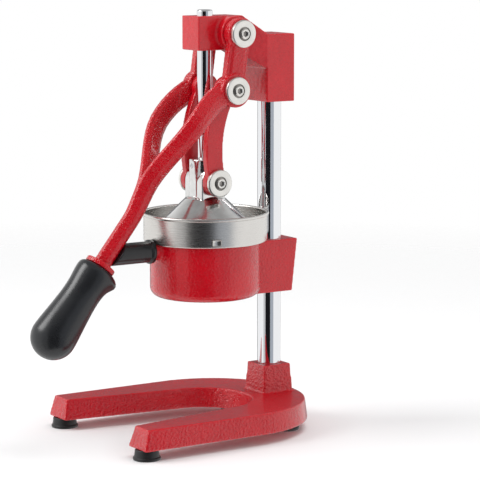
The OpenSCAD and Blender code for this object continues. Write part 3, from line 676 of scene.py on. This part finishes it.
# %% Reamer
reamer_low, reamer_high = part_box("reamer")
REAMER_R = (reamer_high.x - reamer_low.x) / 2
plate_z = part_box("strainer")[1].z
tall = reamer_high.z - plate_z
peg_end = reamer_low.z - plate_z
PEG_R = 4.9 * MM
RIBS = 8
RIB_RISE = 3.0 * MM
RIB_START = 2.2 * MM
outline = [(0, peg_end), (PEG_R, peg_end), (PEG_R, 0), (REAMER_R, 0), (REAMER_R, 2 * MM),
           (REAMER_R * 0.90, 3.4 * MM), (REAMER_R * 0.62, tall * 0.42),
           (REAMER_R * 0.36, tall * 0.68), (REAMER_R * 0.18, tall * 0.86),
           (REAMER_R * 0.07, tall * 0.96), (0, tall)]


def ribs(turn, height):
    share = min(max((height - RIB_START) / (tall - RIB_START), 0.0), 1.0)
    wave = 0.5 + 0.5 * math.cos(RIBS * turn)
    return RIB_RISE * wave ** 2 * math.sin(math.pi * share) ** 0.7


reamer_mesh = spin(softened(outline, 1.2 * MM, steps=3), steps=160, swell=ribs)
reamer_mesh.transform(Matrix.Translation((0, AXIS_Y, plate_z)))
settle("reamer_ribbed", reamer_mesh, "frame", CAST_ALUMINIUM, "reamer", 0)

# %% [markdown]
# What is left are small true shapes that the engineering model already draws well: set
# screws, the column's bolt and washer, the foot screws, the rod's pin and the strainer. They
# keep their meshes and only change their finish.

# %% Finishes of the carried-over pieces
for node, material in (
        ("column_bolt", ZINC), ("column_washer", ZINC), ("foot_screws", ZINC), ("rod_pin", ZINC),
        ("head_set_screws", BLACK_STEEL), ("holder_set_screws", BLACK_STEEL),
        ("strainer", BOWL_STEEL)):
    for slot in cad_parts[node].material_slots:
        slot.material = material
    print(node, "wears", material.name)

# %% [markdown]
# The set is a white sweep: a pale floor that runs into a white surround. Bright metal and
# wet enamel are drawn by what they mirror, so a product studio stands dark card just beside
# the lens to put a crisp dark core into each shaft, and a grey one beyond it. The cards here
# are seen only by mirror-like rays and cast no shadow.

# %% Stage and light
FLOOR_R = 1.6
CLEAR_FROM = 0.5
CARD_DROP = 0.5
OVERHEAD = 0.36
paper = Finish("floor_paper", base_color=rgb(0.93, 0.93, 0.935), roughness=0.9)
reach = paper.node("ShaderNodeVectorMath", {"operation": "LENGTH"}, {0: paper.place}, "Value")
fibres = paper.noise(900, 3.0)
paper.feed(alpha=paper.spread(reach, CLEAR_FROM, FLOOR_R - 0.1, 1.0, 0.0))
paper.feed(normal=paper.bump(fibres, 0.00002))
floor_mesh = spin([(0, 0), (CLEAR_FROM, 0), (FLOOR_R, 0)], steps=64)
floor_mesh.materials.append(paper.material)
floor = bpy.data.objects.new("floor", floor_mesh)
floor.visible_glossy = False
bpy.context.scene.collection.objects.link(floor)


def card(name, start, stop, reach, height, tone):
    """An upright curved card about the press axis, between two azimuths in degrees."""
    steps = 24
    points = []
    for k in range(steps + 1):
        turn = math.radians(start + (stop - start) * k / steps)
        x, y = reach * math.sin(turn), AXIS_Y - reach * math.cos(turn)
        points += [(x, y, -CARD_DROP), (x, y, height)]
    faces = [(2 * k, 2 * k + 2, 2 * k + 3, 2 * k + 1) for k in range(steps)]
    mesh = bpy.data.meshes.new(name)
    mesh.from_pydata(points, [], faces)
    glow = Finish(name, base_color=rgb(0, 0, 0), roughness=1.0, specular_ior_level=0.0,
                  emission_color=rgb(*tone), emission_strength=1.0)
    mesh.materials.append(glow.material)
    panel = bpy.data.objects.new(name, mesh)
    panel.visible_camera = panel.visible_diffuse = panel.visible_shadow = False
    bpy.context.scene.collection.objects.link(panel)


card("dark_card", 24, 76, 0.60, 0.65, (0.010, 0.010, 0.012))
card("grey_card", 76, 108, 0.62, 0.65, (0.42, 0.45, 0.50))
card("far_card", 212, 262, 0.60, 0.65, (0.20, 0.20, 0.21))
card("rim_card", 2, 23, 0.60, 0.65, (0.60, 0.60, 0.61))

world = bpy.data.worlds.new("surround")
bpy.context.scene.world = world
world.use_nodes = True
sky = world.node_tree
up = sky.nodes.new("ShaderNodeTexCoord")
split = sky.nodes.new("ShaderNodeSeparateXYZ")
fade = sky.nodes.new("ShaderNodeMapRange")
fade.inputs[1].default_value, fade.inputs[2].default_value = 0.15, 0.9
fade.inputs[3].default_value, fade.inputs[4].default_value = 1.0, OVERHEAD
ray = sky.nodes.new("ShaderNodeLightPath")
seen = sky.nodes.new("ShaderNodeMath")
seen.operation = "MAXIMUM"
sky.links.new(up.outputs["Generated"], split.inputs[0])
sky.links.new(split.outputs["Z"], fade.inputs[0])
sky.links.new(fade.outputs[0], seen.inputs[0])
sky.links.new(ray.outputs["Is Camera Ray"], seen.inputs[1])
sky.links.new(seen.outputs[0], sky.nodes["Background"].inputs["Strength"])
sky.nodes["Background"].inputs["Color"].default_value = rgb(1.0, 1.0, 1.0)


def soft_light(name, azimuth, height, reach, size, power):
    """A large square light that looks at the middle of the press."""
    data = bpy.data.lights.new(name, "AREA")
    data.shape = "SQUARE"
    data.size = size
    data.energy = power
    lamp = bpy.data.objects.new(name, data)
    turn = math.radians(azimuth)
    lamp.location = (reach * math.sin(turn), AXIS_Y - reach * math.cos(turn), height)
    aim = Vector((0, AXIS_Y, 0.2)) - lamp.location
    lamp.rotation_euler = aim.to_track_quat("-Z", "Y").to_euler()
    bpy.context.scene.collection.objects.link(lamp)
    return lamp


soft_light("key", -25, 1.5, 1.6, 1.0, 22)
overhead = soft_light("top", 160, 1.9, 0.6, 1.2, 16)
overhead.visible_glossy = False
bpy.context.scene.view_settings.view_transform = "Standard"
print("stage set")
